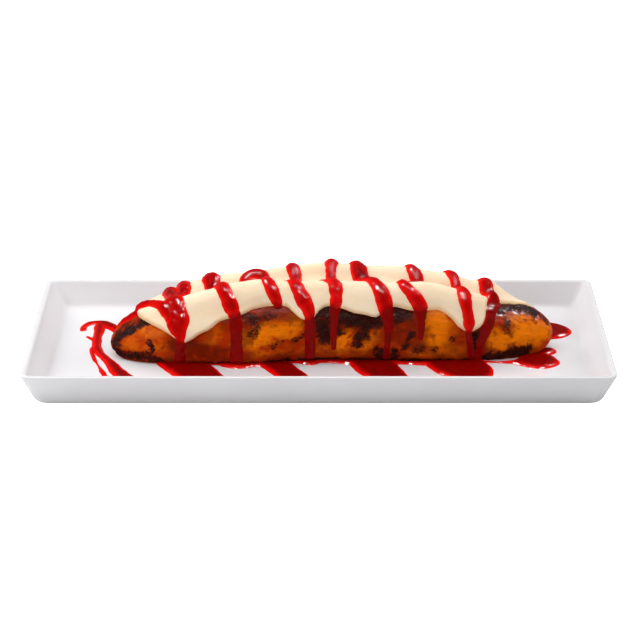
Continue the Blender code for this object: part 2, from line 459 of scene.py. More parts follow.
# %% [markdown]
# ## The dish: rings into a mesh
#
# The section gives one ring for each of its levels, from the underside, over the rim and down to the
# floor.  Neighbouring rings are joined with four-sided faces, and the first and the last ring are
# filled, so the dish is one closed shell.

# %% Build the dish
def build_dish():
    shape = bmesh.new()
    rings = []
    for inset, corner, height in section:
        outline = dish_ring(inset, corner)
        points = np.column_stack([outline, np.full(len(outline), height)])
        rings.append([shape.verts.new(point) for point in points])
    for below, above in zip(rings, rings[1:]):
        for number in range(len(below)):
            after = (number + 1) % len(below)
            shape.faces.new((below[number], below[after], above[after], above[number]))
    for cap in (rings[0][::-1], rings[-1]):
        shape.faces.new(cap)
    return add_piece(shape, "long_dish")


dish = build_dish()
print_size(dish)
place_piece(dish, PORCELAIN, "plate")

# %% [markdown]
# ## Small helpers
#
# Food has no straight edges, so most shapes here are formulas that are worked out for thousands of
# points at once with numpy.  A smooth step, a hill and a bell each turn a value into a share between
# 0 and 1.  A smooth curve turns a few places into a path with many points.

# %% Helpers for formulas
def smooth_step(value):
    value = np.clip(value, 0.0, 1.0)
    return value * value * (3.0 - 2.0 * value)


def hill(value, middle, reach):
    """1 at the middle, 0 beyond the reach."""
    return smooth_step(1.0 - np.abs(value - middle) / reach)


def bell(value, middle, reach):
    """1 at the middle, and less and less on both sides."""
    return np.exp(-((value - middle) / reach) ** 2)


def smooth_curve(points, spacing):
    """Points at about even spacing on a smooth curve through every given point.

    A point may carry more numbers after the first two, such as a width, and they are smoothed too.
    """
    points = np.array(points, dtype=float)
    points = np.vstack([2 * points[0] - points[1], points, 2 * points[-1] - points[-2]])
    made = []
    for before, start, end, after in zip(points, points[1:], points[2:], points[3:]):
        steps = max(int(np.linalg.norm((end - start)[:2]) / spacing), 1)
        for t in np.arange(steps) / steps:
            made.append(0.5 * (2 * start + (end - before) * t
                               + (2 * before - 5 * start + 4 * end - after) * t ** 2
                               + (3 * start - before - 3 * end + after) * t ** 3))
    made.append(points[-2])
    return np.array(made)


print("a smooth step:", smooth_step(np.linspace(0.0, 1.0, 5)))

# %% [markdown]
# ## The plantain: its skin as a formula
#
# A fried plantain is a long body whose section is widest a little below the middle and pressed flat
# where it lies.  One formula gives the skin: u runs from tip to tip, and the angle runs round the
# section from the rear, over the top, to the diner's side.  It is the same formula as the packed
# solid's, so the fine skin fits the collision shape, and the cream and the sauce can use it too.

# %% The skin formula
BACK_HEIGHT = 47.6 * MM              # of the back over the table, before it is split
TIP_HEIGHTS = (13.0 * MM, 16.5 * MM)
HALF_WIDTH = 24.2 * MM
WAIST = 0.40                         # where it is widest, as a share of its height
SQUARENESS = (2.1, 4.0)              # of the upper and the lower half, where 2 makes an ellipse
SAG = 4.5 * MM                       # how much lower the belly would be if it weren't pressed flat
SIDEWAYS = 2.5 * MM                  # how far behind the middle of the dish it lies
BOWS = (11.0 * MM, 4.5 * MM)         # how far each half bends towards the diner
BOW_EASE = 0.15                      # how softly the bend starts, as a share of the half length
NOSE_RISE = 2.4 * MM                 # a low swelling near the right tip
LIP_DROP = 2.0 * MM                  # how much lower the split's front lip lies
SPLIT_DEPTH = 8.5 * MM
SPLIT_WIDTH = 0.26                   # its reach, as a share of the half width
SPLIT_RUN = 0.84                     # how far it runs to each side, as a share of the half length

middle_x = (fruit_low[0] + fruit_high[0]) / 2
half_length = (fruit_high[0] - fruit_low[0]) / 2


def taper(u, power, sharpness):
    """1 in the middle of the fruit and 0 at its tips.  A higher power keeps it full for longer."""
    return np.clip(1.0 - np.abs(u) ** power, 0.0, 1.0) ** sharpness


def signed_power(value, power):
    return np.sign(value) * np.abs(value) ** power


def skin(u, angle, split_depth=SPLIT_DEPTH, split_width=SPLIT_WIDTH):
    """Points of the skin.  angle is 0 at the rear, pi/2 on top and pi on the diner's side."""
    right = u > 0
    tip = np.where(right, TIP_HEIGHTS[1], TIP_HEIGHTS[0])
    tall = taper(u, 1.9, 0.67)
    half_width = HALF_WIDTH * taper(u, np.where(right, 2.6, 2.9), 0.5)
    blunt = taper(u, 11.0, 0.5)
    top = tip + (BACK_HEIGHT - tip) * tall + NOSE_RISE * hill(u, 0.91, 0.15) * blunt
    bottom = tip + (fruit_low[2] - SAG - tip) * blunt

    over = np.sin(angle) >= 0
    squareness = np.where(over, 2 / SQUARENESS[0], 2 / SQUARENESS[1])
    across = signed_power(np.cos(angle), squareness)
    rise = signed_power(np.sin(angle), squareness)
    bow = np.where(right, BOWS[1], BOWS[0]) * (np.hypot(u, BOW_EASE) - BOW_EASE)
    middle_y = SIDEWAYS - bow / (math.hypot(1.0, BOW_EASE) - BOW_EASE)
    middle_y = middle_y * np.where(over, 1.0 - 0.5 * smooth_step(rise), 1.0)
    z = bottom + (top - bottom) * np.where(over, WAIST + (1.0 - WAIST) * rise, WAIST * (1.0 + rise))
    furrow = smooth_step((SPLIT_RUN - np.abs(u - 0.02)) / 0.35) * bell(across, 0.0, split_width)
    lip = smooth_step(tall * 1.6 - 0.6) * smooth_step((0.15 - across) / 0.5) * rise
    z = z - np.where(over, split_depth * furrow + LIP_DROP * lip, 0.0)
    return np.stack([middle_x + half_length * u, middle_y + half_width * across, z], axis=-1)


def outward(u, angle, *split):
    """The direction that the skin faces."""
    step = 0.002
    along = skin(u + step, angle, *split) - skin(u - step, angle, *split)
    around = skin(u, angle + step, *split) - skin(u, angle - step, *split)
    normal = np.cross(around, along)
    return normal / np.maximum(np.linalg.norm(normal, axis=-1, keepdims=True), 1e-9)


def on_skin(path):
    """3-D points for rows of (x in mm, angle in degrees, ...)."""
    u = np.clip((path[:, 0] * MM - middle_x) / half_length, -0.999, 0.999)
    return skin(u, np.radians(path[:, 1]))


def marks_along(places, spacing=1.0):
    """A smooth path over the skin.  A row of the result is x, angle and what else was given."""
    degree = 0.42                     # one degree round the section is about this many mm
    stretched = np.array(places, dtype=float) * ([1.0, degree] + [1.0] * (len(places[0]) - 2))
    return smooth_curve(stretched, spacing) / ([1.0, degree] + [1.0] * (len(places[0]) - 2))


print("girth in the middle, mm:", round(float(np.linalg.norm(np.diff(
    skin(np.zeros(361), np.radians(np.arange(361))), axis=0), axis=1).sum()) / MM))

# %% [markdown]
# ## The plantain: where it charred
#
# Frying browned the ridges and edges that touched the hot oil longest.  Each burnt place is a short
# stroke over the skin with a width and a strength, and the strokes are laid where a cook would find
# them: round the left tip, under the edge of the cream and on the right hump.  The long bands along
# the base, in front and at the rear, are partly browned skin and partly painted shade, where the
# fruit meets the dish.  The diner's side is placed one by one, and the rear gets strokes of the same
# kind from a seeded draw.

# %% Burnt strokes and painted shade along the base
# Each stroke: strength, half width in mm, and its places as (x in mm, angle in degrees).
CHAR_AND_BASE_SHADE_STROKES = [
    (1.0, 2.3, [(-87.5, 124), (-94, 127), (-100, 133), (-105, 143), (-106.3, 165), (-105.4, 190),
                (-103.5, 197)]),
    (0.95, 1.8, [(-103.5, 197), (-100, 187), (-94, 184), (-88, 185), (-82, 191)]),
    (0.6, 1.5, [(-97, 100), (-101, 108), (-104.5, 122)]),
    (1.0, 1.3, [(-86.6, 167), (-86.0, 173)]),
    (0.70, 2.4, [(-38, 142), (-35, 148), (-32, 160), (-34, 167)]),
    (0.55, 1.6, [(-29, 152), (-24, 149)]),
    (0.62, 0.9, [(-27.4, 183), (-21, 180), (-13, 180), (-8, 175)]),
    (1.0, 4.0, [(-1, 149), (5, 150), (12, 154), (18, 154), (24, 156), (31, 153)]),
    (0.95, 3.4, [(1, 160), (2.5, 172), (3.5, 178)]),
    (0.7, 2.0, [(9.5, 160), (10, 172)]),
    (0.9, 2.3, [(24, 160), (24, 171), (20, 181)]),
    (0.9, 2.1, [(30.9, 188), (32.4, 200)]),
    (0.9, 1.9, [(38.9, 187), (39.2, 200)]),
    (0.85, 2.8, [(40, 144), (44.5, 145), (41, 153)]),
    (0.80, 1.4, [(49, 169), (46, 178), (44, 183)]),
    (0.62, 1.5, [(69, 174), (69.4, 175)]),
    (0.55, 1.5, [(60, 182), (60.5, 182)]),
    (0.55, 1.5, [(50, 185), (53, 184)]),
    (1.0, 2.3, [(81, 170), (81.6, 189)]),
    (1.0, 2.9, [(90, 120), (95, 112), (101, 103), (108, 97), (113.5, 97)]),
    (0.85, 1.8, [(113, 100), (118, 104)]),
    (0.50, 2.3, [(97, 142), (97, 154)]),
    (1.0, 2.3, [(85, 201), (92, 194), (101, 188), (108, 187)]),
    # Along the front base: partly charring and partly painted shade, where the fruit meets the dish.
    (0.85, 1.5, [(-82, 208), (-50, 209), (-10, 209), (40, 209), (76, 207)]),
]
TOAST_AND_BASE_SHADE_STROKES = [
    (0.8, 4.5, [(-92, 108), (-99, 118), (-104, 134), (-106, 160)]),
    (1.0, 5.5, [(-73, 174), (-64, 180), (-52, 188), (-45, 196)]),
    (0.7, 4.0, [(-66, 164), (-60, 158)]),
    (0.8, 5.0, [(-46, 150), (-36, 150), (-26, 146), (-14, 148), (-9, 152)]),
    (0.7, 3.5, [(-37, 160), (-37, 178)]),
    (1.0, 6.5, [(-4, 150), (12, 156), (30, 160), (40, 154), (48, 150)]),
    (0.6, 3.0, [(-5, 170), (-3, 184)]),
    (0.8, 4.5, [(37, 170), (45, 180), (54, 184)]),
    (0.8, 4.5, [(51, 146), (47, 160), (53, 174)]),
    (0.5, 4.0, [(70, 162), (74, 172), (66, 184)]),
    (0.9, 5.0, [(84, 156), (83, 175), (86, 194)]),
    (0.9, 4.5, [(91, 126), (101, 112), (110, 106)]),
    (0.7, 4.0, [(96, 140), (98, 154)]),
    # Along the front base: partly browning and partly painted shade, where the fruit meets the dish.
    (0.8, 5.0, [(-100, 203), (-60, 203), (-10, 202), (50, 202), (80, 200), (108, 194)]),
]
# Places that stayed clear and amber.
AMBER_STROKES = [
    (0.50, 7.0, [(-97, 158), (-91, 160), (-82, 168)]),
    (0.5, 5.0, [(-90, 142), (-80, 158)]),
    (0.5, 4.5, [(-53, 156), (-55, 168)]),
    (1.1, 4.8, [(-34, 174), (-27, 167), (-19, 167), (-12, 162), (-10, 157)]),
    (1.2, 3.0, [(-26, 169), (-16, 168)]),
    (0.5, 3.0, [(-31, 187), (-20, 186), (-9, 186)]),
    (1.0, 3.0, [(15.5, 167), (14, 176), (11.5, 184)]),
    (0.8, 3.0, [(30, 168), (26.5, 176), (23, 183)]),
    (0.35, 4.0, [(-2, 188), (22, 190)]),
    (1.1, 5.8, [(59, 150), (61, 160), (60.5, 172)]),
    (0.5, 5.0, [(66, 158), (65, 182)]),
    (0.4, 4.0, [(50, 190), (73, 190)]),
    (1.2, 5.2, [(91, 173), (97, 173), (102, 165), (107, 160)]),
    (1.0, 6.0, [(103, 134), (111, 138), (114, 156), (108, 174)]),
    (0.7, 4.0, [(92, 184), (98, 183)]),
]


def seeded_strokes(count, seed, half_width, length):
    """Strokes on the rear and on the underside."""
    draw = np.random.default_rng(seed)
    made = []
    for _ in range(count):
        x = draw.uniform(-95, 105)
        angle = draw.uniform(-45, 48)
        slant = draw.uniform(-14, 14)
        reach = length * draw.uniform(0.4, 1.2)
        places = [(x, angle), (x + reach / 2, angle + slant), (x + reach, angle + slant * 1.6)]
        made.append((draw.uniform(0.7, 1.0), half_width * draw.uniform(0.6, 1.3),
                     [(min(place, 112.0), turn) for place, turn in places]))
    return made


char_strokes = CHAR_AND_BASE_SHADE_STROKES + seeded_strokes(16, 7, 2.4, 16)
char_strokes += [(1.0, 3.2, [(-103, -40), (-104, -5), (-99, 25), (-88, 40)]),
                 (1.0, 3.2, [(118, -20), (112, 10), (98, -35)])]
toast_strokes = TOAST_AND_BASE_SHADE_STROKES + seeded_strokes(12, 11, 6.0, 30)
# Along the rear base: partly browning and partly painted shade, where the fruit meets the dish.
toast_strokes += [(0.9, 6.0, [(-95, -28), (-30, -30), (30, -29), (100, -24)])]
amber_strokes = AMBER_STROKES + seeded_strokes(9, 5, 7.5, 26)
print(len(char_strokes), "charred strokes and", len(toast_strokes), "toasted strokes")

# %% [markdown]
# ## The plantain: painting the strokes
#
# A stroke marks every point that is near enough to its path, most strongly in the middle and softly
# out to its edge.  Brushing a picture onto the skin would do too, but marks on the points need no
# picture and no unwrapping.  Noise is added to the distance, so the edges come out ragged.

# %% Painting strokes onto points
def nearest(points, path):
    """Distance from each point to the nearest sample of a path, and that sample's number."""
    flat = points.reshape(-1, points.shape[-1])
    distance = np.full(len(flat), 1e9)
    which = np.zeros(len(flat), dtype=int)
    for number, sample in enumerate(path):
        away = ((flat - sample) ** 2).sum(axis=1)
        closer = away < distance
        distance[closer] = away[closer]
        which[closer] = number
    return np.sqrt(distance).reshape(points.shape[:-1]), which.reshape(points.shape[:-1])


def painted(points, strokes, ragged):
    """How strongly the strokes mark each point, from 0 to 1.  ragged is noise in mm for their edges."""
    mark = np.zeros(points.shape[:-1])
    for strength, half_width, places in strokes:
        path = on_skin(marks_along(places, 1.0))
        low, high = path.min(axis=0), path.max(axis=0)
        reach = (2.3 * half_width + 3.0) * MM
        close = ((points > low - reach) & (points < high + reach)).all(axis=-1)
        distance, _ = nearest(points[close], path)
        edge = distance / MM + ragged[close]
        mark[close] = np.maximum(mark[close], strength * smooth_step(1.2 - edge / half_width / 1.7))
    return mark


print("a stroke's middle is marked", painted(on_skin(np.array([[0.0, 90.0]])),
                                             [(0.8, 3.0, [(-5, 90), (5, 90)])], np.zeros(1)))

# %% [markdown]
# ## The plantain: its relief
#
# The skin isn't smooth.  It is lumpy, it has soft long ridges, fine fibres run along it, and charred
# places are pitted and blistered.  Lumps of noise make all but the ridges: large and soft, small and
# sharp, or drawn out along the fruit.  The noise is Blender's own, so it is the same on every run.

# %% Relief of the skin
def lumps(points, size, seed, stretch=(1.0, 1.0, 1.0)):
    """Noise between about -1 and 1.  Lumps are as wide as size, and longer where stretch is under 1."""
    scaled = points.reshape(-1, 3) * np.array(stretch) / size + np.array((5.3, 2.9, 7.7)) * seed
    values = np.array([noise.noise(Vector(point)) for point in scaled])
    return values.reshape(points.shape[:-1]) * 1.6


def relief(points, char, toast):
    """How far each point of the skin stands out, in metres."""
    soft = 0.75 * lumps(points, 24 * MM, 1, (0.6, 1, 1)) + 0.30 * lumps(points, 8 * MM, 2, (0.6, 1, 1))
    fibres = 0.10 * lumps(points, 2.2 * MM, 3, (0.16, 1, 1))
    blisters = lumps(points, 2.3 * MM, 4)
    pits = np.maximum(lumps(points, 1.5 * MM, 5), 0.0)
    return (soft + fibres + char * (0.26 * blisters - 0.5 * pits - 0.25) - 0.15 * toast) * MM


def ridges(angle):
    """Three soft edges that run along the fruit, as on any plantain."""
    # Each edge: its place and its reach in degrees, and its height in mm.
    edges = ((152, 11, 0.55), (196, 10, 0.50), (20, 14, 0.5))
    turned = np.degrees(angle) % 360
    return sum(size * MM * bell(turned, place, reach) for place, reach, size in edges)


print("the ridges stand out by", np.round(ridges(np.radians([20, 90, 152, 196])) / MM, 2), "mm")

# %% [markdown]
# ## The plantain: from a ball to a fruit
#
# The piece starts as a sphere whose poles become the tips.  Each point is put on the formula, and
# then it is moved along its normal by the relief.  How charred, toasted or amber the skin is there is
# stored on the point as an attribute, where the material can read it.  Along the base the charred and
# toasted marks also hold painted shade.

# %% Build the plantain
SKIN_AROUND, SKIN_ALONG = 216, 330   # faces round the section and from tip to tip
RELIEF_FADE = 0.985                  # the relief fades out towards the very tips


def store(item, name, values):
    layer = item.data.attributes.new(name, "FLOAT", "POINT")
    layer.data.foreach_set("value", np.asarray(values, dtype=np.float32).ravel())


def build_plantain():
    shape = bmesh.new()
    bmesh.ops.create_uvsphere(shape, u_segments=SKIN_AROUND, v_segments=SKIN_ALONG, radius=1.0)
    item = add_piece(shape, "fried_plantain")
    ball = np.empty(len(item.data.vertices) * 3)
    item.data.vertices.foreach_get("co", ball)
    ball = ball.reshape(-1, 3)
    u, angle = np.clip(ball[:, 2], -1.0, 1.0), np.arctan2(ball[:, 1], ball[:, 0])
    points = skin(u, angle)
    ragged = 1.1 * lumps(points, 3.0 * MM, 6) + 0.6 * lumps(points, 1.3 * MM, 7)
    char = painted(points, char_strokes, ragged)
    toast = painted(points, toast_strokes, 2.5 * ragged)
    amber = painted(points, amber_strokes, 2.0 * ragged)
    inside = np.clip(u, -RELIEF_FADE, RELIEF_FADE)
    fade = smooth_step((1.0 - np.abs(u)) / 0.02)
    height = (relief(points, char, toast) + ridges(angle) * smooth_step((0.9 - np.abs(u)) / 0.3)) * fade
    points = points + outward(inside, angle) * height[:, None]
    points[:, 2] = np.maximum(points[:, 2], fruit_low[2])
    item.data.vertices.foreach_set("co", points.ravel())
    item.data.update()
    for name, values in (("char", char), ("toast", toast), ("amber", amber)):
        store(item, name, values)
    return item


plantain = build_plantain()
print_size(plantain)

# %% [markdown]
# ## The plantain: its finish
#
# Ripe plantain fries to clear amber, with orange and brown where sugar caramelised and near black
# where it burnt.  The colours follow the painted strokes, with their edges broken up by mottling at
# two sizes, so no burnt place has an even border.  Along the base this brown and black is partly
# painted shade, where the fruit meets the dish.  The skin is oily, so it has an uneven soft gloss,
# and charred crust is duller.

# %% Fried skin
def make_fried_skin():
    finish = Finish("fried_skin", Specular_IOR_Level=0.02, Coat_Roughness=0.18, Coat_IOR=1.2)
    broad = finish.group(MOTTLE, Blotches=40.0, Detail=3.0, Stretch=(0.6, 1.0, 1.0), Low=0.25, High=0.75)
    fine = finish.group(MOTTLE, Blotches=230.0, Detail=5.0, Stretch=(0.7, 1.0, 1.0), Low=0.25, High=0.75)
    fibre = finish.group(MOTTLE, Blotches=620.0, Detail=4.0, Stretch=(0.12, 1.0, 1.0), Low=0.3, High=0.7)
    grain = finish.group(MOTTLE, Blotches=900.0, Detail=4.0, Low=0.3, High=0.7)
    pores = finish.group(MOTTLE, Blotches=760.0, Detail=1.0, Stretch=(0.6, 1.0, 1.0), Low=0.57, High=0.70)
    uneven = finish.centred(fine, 0.40)
    drift = finish.centred(broad, 0.5)

    clear = finish.math("ADD", finish.attribute("amber"), finish.math("ADD", drift, uneven))
    flesh = finish.mix(finish.limits(clear, 0.07, 1.12), (0.460, 0.030, 0.0006), (0.990, 0.225, 0.0008))
    flesh = finish.mix(finish.math("MULTIPLY", fibre, 0.15), flesh, (0.250, 0.016, 0.0006))
    flesh = finish.mix(finish.math("MULTIPLY", pores, 0.15), flesh, (0.170, 0.010, 0.0008))
    # Along the base, the browning and charring colours below are partly painted shade.
    browned_and_base_shade = finish.limits(finish.math("ADD", finish.attribute("toast"), uneven), 0.0, 1.2)
    skin_colour = finish.mix(browned_and_base_shade, flesh, (0.175, 0.0115, 0.0010))
    ragged = finish.math("MULTIPLY", finish.math("ADD", finish.centred(grain, 0.55), uneven),
                         finish.limits(finish.attribute("char"), 0.0, 0.4, 0.35, 1.0))
    burnt_and_base_shade = finish.math("ADD", finish.attribute("char"), ragged)
    scorched_and_base_shade = finish.mix(finish.limits(burnt_and_base_shade, 0.03, 0.70), skin_colour, (0.070, 0.0065, 0.0020))
    char = finish.limits(burnt_and_base_shade, 0.48, 1.05)
    soot_and_base_shade = finish.mix(grain, (0.0050, 0.0012, 0.0012), (0.044, 0.0075, 0.0045))
    finish.into("Base Color", finish.mix(char, scorched_and_base_shade, soot_and_base_shade))

    finish.into("Roughness", finish.limits(finish.math("ADD", char, uneven), 0.0, 1.2, 0.34, 0.60))
    oiled = finish.limits(fine, 0.3, 0.9, 0.01, 0.12)
    finish.into("Coat Weight", finish.math("MULTIPLY", oiled, finish.limits(char, 0.2, 1.0, 1.0, 0.25)))
    first = finish.bump(fibre, 0.08 * MM, finish.bump(pores, 0.10 * MM))
    finish.into("Normal", finish.bump(finish.math("MULTIPLY", grain, char), 0.30 * MM, first))
    return finish.material


place_piece(plantain, make_fried_skin(), "plantain", wet=True)

# %% [markdown]
# ## Laying things on what is already there
#
# Cream and sauce lie on an uneven surface, so their undersides have to follow it.  A guide surface
# gives each point a place and an outward direction.  From a little way out a ray is cast back in, and
# where it hits says how high the food stands at that point.

# %% Casting onto the food
GUIDE_SPLIT = (6.2 * MM, 0.31)       # the guide is the skin with a shallower and wider split
RAY_START = 11.0 * MM                # how far out from the guide a ray starts
RAY_REACH = 30.0 * MM


def surface_tree(items):
    """One search tree over several pieces, and the number of faces of the first."""
    points, faces = [], []
    for item in items:
        start = len(points)
        points += [vert.co.copy() for vert in item.data.vertices]
        faces += [[start + number for number in face.vertices] for face in item.data.polygons]
    return BVHTree.FromPolygons(points, faces), len(items[0].data.polygons)


def stand_heights(guide, direction, items):
    """Height of the food over each guide point, and whether the first item was what lies there."""
    tree, first_faces = surface_tree(items)
    start = (guide + direction * RAY_START).reshape(-1, 3)
    inward = -direction.reshape(-1, 3)
    height = np.full(len(start), -1.0 * MM)
    on_first = np.ones(len(start))
    for number in range(len(start)):
        _, _, face, distance = tree.ray_cast(Vector(start[number]), Vector(inward[number]), RAY_REACH)
        if face is not None:
            height[number] = RAY_START - distance
            on_first[number] = float(face < first_faces)
    return height.reshape(guide.shape[:-1]), on_first.reshape(guide.shape[:-1])


def blur(grid, cells):
    """Average a grid over its neighbours, a few cells each way."""
    weights = np.hanning(2 * cells + 3)[1:-1]
    weights = weights / weights.sum()
    for axis in (0, 1):
        padded = np.pad(grid, [(cells, cells) if side == axis else (0, 0) for side in (0, 1)], mode="edge")
        grid = sum(weight * np.take(padded, np.arange(grid.shape[axis]) + shift, axis=axis)
                   for shift, weight in enumerate(weights))
    return grid


print("a spike of 1, blurred:", np.round(blur(np.eye(1, 5, 2), 1), 2))

# %% [markdown]
# ## The cream: its outline
#
# The cream was poured along the top, and it hangs down both sides in broad tongues.  Its outline is
# one curve for the diner's side and one for the rear, which meet at both ends.  Straight rulings
# between the two curves carry the rows of the mesh, so the rows run along the edge and can round it.

# %% The cream's outline
# Places along each edge, from the left end to the right: x in mm and angle in degrees.
CREAM_FRONT = [
    (-94, 88), (-93, 105), (-90.5, 119), (-86.5, 133), (-82.4, 143), (-75.8, 158), (-70.5, 171),
    (-66.5, 170), (-61, 162), (-55.5, 157), (-50.8, 149), (-45.7, 146), (-38.6, 143), (-33.5, 138),
    (-25, 136), (-17.1, 138), (-13, 147), (-8.4, 156), (-3, 155), (0.7, 146), (4.9, 141), (11.9, 144),
    (18, 149), (24, 151), (29.7, 153), (34.5, 143), (39.5, 138), (47.3, 141), (56.5, 139), (62, 138),
    (68.3, 148), (72, 158), (77, 163), (82, 157), (85.2, 145), (86, 130), (87.5, 112), (92, 100),
    (99, 94), (106, 89), (112, 78)]
CREAM_REAR = [
    (-94, 88), (-92, 70), (-86, 52), (-76, 40), (-62, 28), (-52, 19), (-43, 27), (-32, 40), (-21, 40),
    (-12, 30), (-3, 40), (10, 43), (24, 30), (36, 16), (48, 27), (58, 40), (72, 36), (84, 28),
    (95, 40), (105, 56), (112, 78)]
CREAM_COLUMNS = 330
CREAM_ROWS = 116
TURN_SHARE = 0.15                    # how much a degree of turn counts beside a mm along the fruit


def evenly(path, count):
    """The path at count places, spaced by how far it runs along the fruit, and a little by its turn."""
    travel = np.hypot(np.diff(path[:, 0]), TURN_SHARE * np.diff(path[:, 1]))
    along = np.concatenate([[0.0], np.cumsum(travel)])
    wanted = np.linspace(0.0, along[-1], count)
    return np.stack([np.interp(wanted, along, path[:, part]) for part in (0, 1)], axis=-1)


front_edge, rear_edge = [marks_along(edge, 0.5) for edge in (CREAM_FRONT, CREAM_REAR)]
share = np.linspace(0.0, 1.0, CREAM_ROWS)[:, None, None]
share = 0.5 * share + 0.25 * (1.0 - np.cos(math.pi * share))
cream_grid = (1.0 - share) * evenly(rear_edge, CREAM_COLUMNS) + share * evenly(front_edge, CREAM_COLUMNS)
cream_u = (cream_grid[..., 0] * MM - middle_x) / half_length
cream_angle = np.radians(cream_grid[..., 1])
cream_border = on_skin(np.vstack([front_edge, rear_edge[::-1]]))
print("the cream has", cream_u.size, "points, its border", len(cream_border))

# %% [markdown]
# ## Closing two sheets into a solid
#
# Cream and sauce are each an upper and a lower grid of points.  Cells of the grid become faces above
# and below, and a strip of faces joins the two along the border.  A thickness modifier on one sheet
# is the usual way, but here the underside has its own shape.

# %% Close two sheets
def close_sheets(top, under, used, values, name):
    """Close an upper and a lower grid of points into one solid.

    used marks the cells of the grid to keep, and values holds the attributes of the grid's points.
    """
    shape = bmesh.new()
    layers = {label: shape.verts.layers.float.new(label) for label in values}
    made = ({}, {})
    faces = []
    for row, column in zip(*np.nonzero(used)):
        ring = ((row, column), (row, column + 1), (row + 1, column + 1), (row + 1, column))
        for side, points in enumerate((top, under)):
            for place in ring:
                if place not in made[side]:
                    vert = shape.verts.new(points[place])
                    for label, layer in layers.items():
                        vert[layer] = values[label][place]
                    made[side][place] = vert
            around = ring if side == 0 else reversed(ring)
            faces.append(shape.faces.new([made[side][place] for place in around]))
    partner = {made[0][place]: made[1][place] for place in made[0]}
    rim = [edge for edge in shape.edges if edge.is_boundary and edge.verts[0] in partner]
    for edge in rim:
        first, second = edge.verts
        shape.faces.new((second, first, partner[first], partner[second]))
    return add_piece(shape, name)

# %% [markdown]
# ## The cream: its thickness
#
# Thick cream ends in a round lip, so its thickness rises from nothing at the border like a quarter of
# a circle.  Where it was folded over the two ridges of the split it stands higher, and gentle waves
# run over it.  In the split it fills the bottom, because cream flows where the fruit falls away.

# %% Build the cream
CREAM_THICKNESS = 2.5 * MM
LIP_ROUND = 1.8 * MM                 # how far in from the border its lip is round
CREAM_SINK = 0.5 * MM                # how far its edge is sunk into the skin
CREAM_MARGIN = 4.0 * MM              # folds and waves start this far in from the edge
DEEPEST_FOLLOW = -0.4 * MM           # lower than this under the guide, the cream fills up
THIN_END = (88.0, 18.0, 0.62)        # from this x in mm, over this length, it thins by this share
FRONT_RIDGE = (114.0, 17.0)          # the middle and the reach of each ridge of the split, in degrees
REAR_RIDGE = (60.0, 16.0)


def cream_folds(x, degrees):
    """Extra height of the cream where it is folded over the ridges of the split."""
    front = np.interp(x, [-90, -80, -69, -58, -45, -35, -22, -8, 10, 34, 44, 52, 60, 70, 80, 90],
                      [0.8, 1.6, 3.0, 4.6, 5.3, 5.0, 3.6, 1.4, 0.6, 0.9, 2.2, 3.8, 3.4, 2.2, 1.8, 1.0])
    rear = np.interp(x, [-92, -80, -62, -50, -38, -28, -12, 6, 22, 40, 68, 80, 90, 98, 106],
                     [1.6, 1.6, 2.5, 1.9, -0.2, -0.4, 0.2, 1.3, 0.3, 0.9, 1.4, 1.6, 3.4, 1.6, -0.6])
    return (front * bell(degrees, *FRONT_RIDGE) + rear * bell(degrees, *REAR_RIDGE)) * MM


def build_cream():
    guide = skin(cream_u, cream_angle, *GUIDE_SPLIT)
    direction = outward(cream_u, cream_angle, *GUIDE_SPLIT)
    under, _ = stand_heights(guide, direction, [plantain])
    from_edge, _ = nearest(guide, cream_border)
    from_edge[[0, -1], :] = 0.0
    from_edge[:, [0, -1]] = 0.0
    within = smooth_step(from_edge / CREAM_MARGIN)
    followed = under + (np.maximum(blur(under, 4), DEEPEST_FOLLOW) - under) * within
    lip = np.sqrt(1.0 - (1.0 - np.clip(from_edge / LIP_ROUND, 0.0, 1.0)) ** 2)
    waves = 0.30 * lumps(guide, 17 * MM, 21) + 0.12 * lumps(guide, 6 * MM, 22)
    start, length, loss = THIN_END
    thickness = CREAM_THICKNESS * (1.0 - loss * smooth_step((cream_grid[..., 0] - start) / length))
    height = followed + (thickness + CREAM_SINK) * lip - CREAM_SINK
    height += (cream_folds(cream_grid[..., 0], cream_grid[..., 1]) + waves * MM) * within
    top = guide + direction * height[..., None]
    bottom = guide + direction * (np.minimum(under, height) - 1.5 * CREAM_SINK)[..., None]
    used = np.ones(np.array(cream_u.shape) - 1, dtype=bool)
    return close_sheets(top, bottom, used, {"edge": from_edge / MM}, "poured_cream")


cream = build_cream()
print_size(cream)

# %% [markdown]
# ## The cream: its finish
#
# Thick cream lets light in a little way, so it glows warm where it is thin.  Along its lip the colour
# is painted a warmer, darker cream, as painted shade and a painted warm glow at the lip.  Its
# surface is smooth with a soft sheen, and faint swirls of a paler and a warmer cream show how it ran.

# %% Cream
def make_cream_finish():
    finish = Finish("thick_cream", Subsurface_Weight=0.20, Subsurface_Radius=(0.005, 0.0030, 0.0015),
                    Subsurface_Scale=1.0, Roughness=0.45, Specular_IOR_Level=0.06)
    swirl = finish.group(MOTTLE, Blotches=55.0, Detail=3.0, Stretch=(0.5, 1.0, 1.0), Low=0.3, High=0.7)
    fine = finish.group(MOTTLE, Blotches=420.0, Detail=4.0, Low=0.3, High=0.7)
    body = finish.mix(swirl, (0.970, 0.735, 0.500), (1.000, 0.800, 0.580))
    # Painted shade and warm glow: within 2.2 mm of the border the cream is painted warmer and darker.
    edge = finish.limits(finish.attribute("edge"), 0.0, 2.2)
    finish.into("Base Color", finish.mix(edge, (0.94, 0.62, 0.34), body))
    ripple = finish.bump(swirl, 0.25 * MM)
    finish.into("Normal", finish.bump(fine, 0.03 * MM, ripple))
    return finish.material


place_piece(cream, make_cream_finish(), "cream_topping")

# %% [markdown]
# ## The sauce: a blanket of points
#
# The sauce crosses cream, skin and the step between them, and its strands run into each other.
# Separate tubes would cut through one another, so the strands are a height on one blanket of points
# laid over the food.  Where the height is below zero the blanket dips under the surface, and that
# line is the edge of the sauce.

